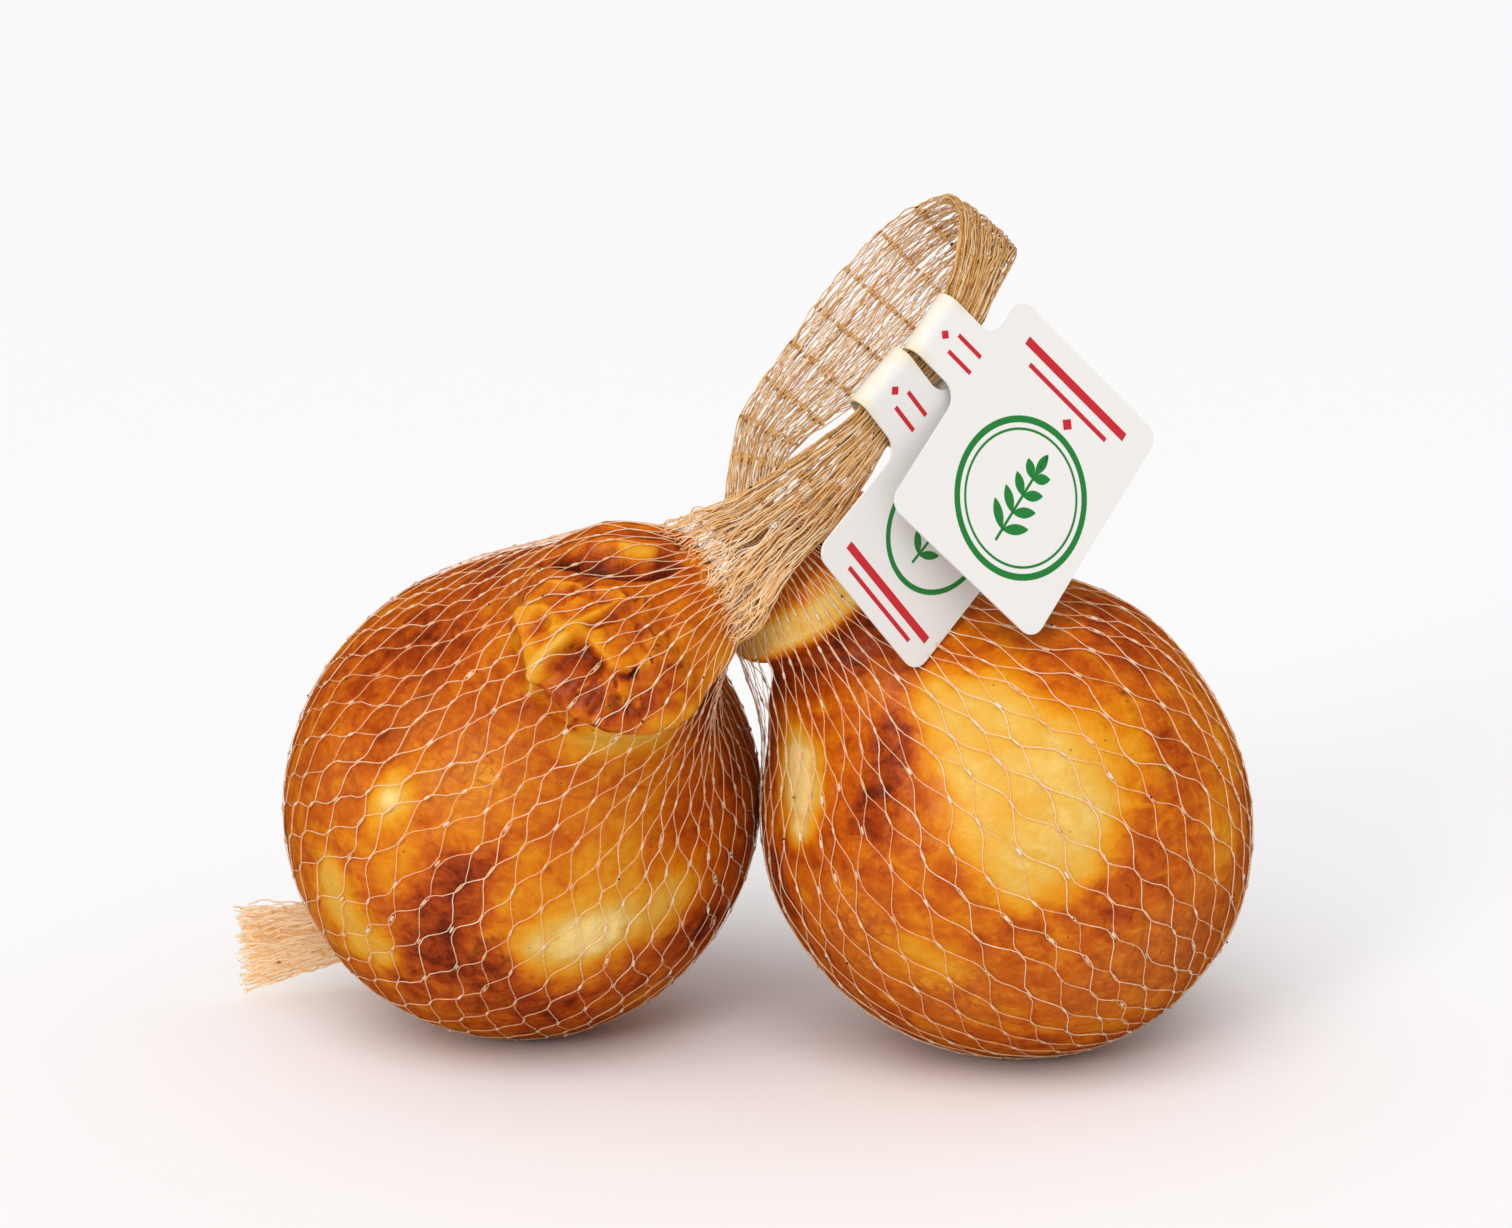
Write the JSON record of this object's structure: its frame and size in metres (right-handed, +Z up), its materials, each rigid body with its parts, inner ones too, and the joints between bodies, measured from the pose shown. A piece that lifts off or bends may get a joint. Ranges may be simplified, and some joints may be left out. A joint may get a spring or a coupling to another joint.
{
  "type": "smoked caciocavallo pair in a net",
  "caption": "Pear-shaped smoked stretched-curd cheeses with folded knobs, held together in a stretch net whose gathered strip makes a carrying loop with card tags.",
  "frame": {"origin": "on the floor under the middle of the pair's bounding box", "axes": "+X to the right across the pair, +Y away from the viewer of the knobs, +Z up"},
  "size_m": [0.2583, 0.1377, 0.2123],
  "materials": {
    "smoked_rind": "waxy, smoke-mottled from cream yellow through amber to brown",
    "net": "stretched translucent plastic mesh, gathered",
    "tag_card": "coated white card with a small printed ornament"
  },
  "bodies": {
    "root": {"cheese_left": "smoked_rind", "cheese_right": "smoked_rind", "net_loop": "net", "net_tail_left": "net", "net_tail_right": "net", "tag_front": "tag_card", "tag_back": "tag_card"}
  },
  "joints": []
}
